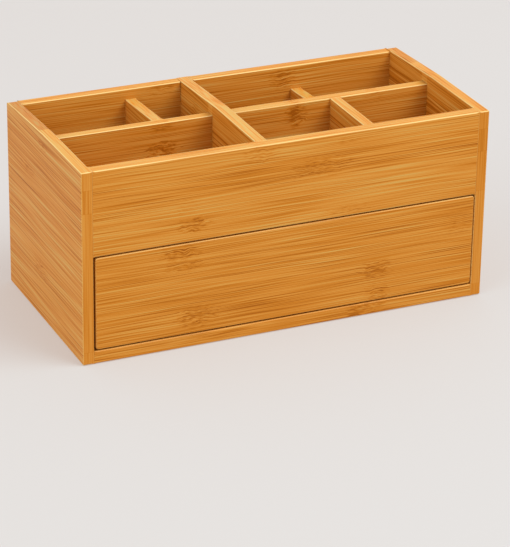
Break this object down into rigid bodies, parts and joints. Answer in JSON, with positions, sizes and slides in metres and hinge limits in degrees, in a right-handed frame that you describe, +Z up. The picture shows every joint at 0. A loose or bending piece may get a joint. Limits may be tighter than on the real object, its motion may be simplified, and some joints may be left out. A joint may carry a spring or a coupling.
{
  "type": "desk organizer",
  "caption": "Bamboo desk organizer: open compartments of several sizes split by a long wall and cross dividers, above a full-width inset drawer with a plain front.",
  "frame": {"origin": "on the desk surface, under the middle of the case's width and depth", "axes": "+X to the right along the width seen from the front, +Y from the drawer front to the back, +Z up"},
  "size_m": [0.3, 0.146, 0.14],
  "materials": {
    "bamboo_case": "clear satin lacquer over laminated carbonised bamboo, fine straight grain with growth nodes",
    "bamboo_divider": "clear satin lacquer over laminated carbonised bamboo",
    "bamboo_drawer_front": "clear satin lacquer over laminated carbonised bamboo, eased edges",
    "bamboo_drawer_box": "sanded laminated bamboo with a thin clear coat",
    "dowel_wood": "plain beech dowel with fine flutes, hidden",
    "pad_rubber": "matt anti-slip rubber"
  },
  "bodies": {
    "case": {"left_side_panel": "bamboo_case", "right_side_panel": "bamboo_case", "front_rail": "bamboo_case", "back_panel": "bamboo_case", "base_panel": "bamboo_case", "tray_floor": "bamboo_case", "centre_divider": "bamboo_divider", "left_cross_divider": "bamboo_divider", "left_rear_divider": "bamboo_divider", "right_cross_divider": "bamboo_divider", "right_rear_divider": "bamboo_divider", "right_front_divider": "bamboo_divider", "dowel_left_rail_lower": "dowel_wood", "dowel_left_rail_upper": "dowel_wood", "dowel_left_back_lower": "dowel_wood", "dowel_left_back_upper": "dowel_wood", "dowel_left_base_front": "dowel_wood", "dowel_left_base_rear": "dowel_wood", "dowel_right_rail_lower": "dowel_wood", "dowel_right_rail_upper": "dowel_wood", "dowel_right_back_lower": "dowel_wood", "dowel_right_back_upper": "dowel_wood", "dowel_right_base_front": "dowel_wood", "dowel_right_base_rear": "dowel_wood", "anti_slip_pad_front_left": "pad_rubber", "anti_slip_pad_front_right": "pad_rubber", "anti_slip_pad_rear_left": "pad_rubber", "anti_slip_pad_rear_right": "pad_rubber"},
    "drawer": {"drawer_front": "bamboo_drawer_front", "drawer_left_side": "bamboo_drawer_box", "drawer_right_side": "bamboo_drawer_box", "drawer_back": "bamboo_drawer_box", "drawer_bottom": "bamboo_drawer_box"}
  },
  "joints": [
    {"name": "drawer_slide", "type": "slide", "parent": "case", "child": "drawer", "axis": [0, -1, 0], "range_m": [0, 0.115]}
  ]
}
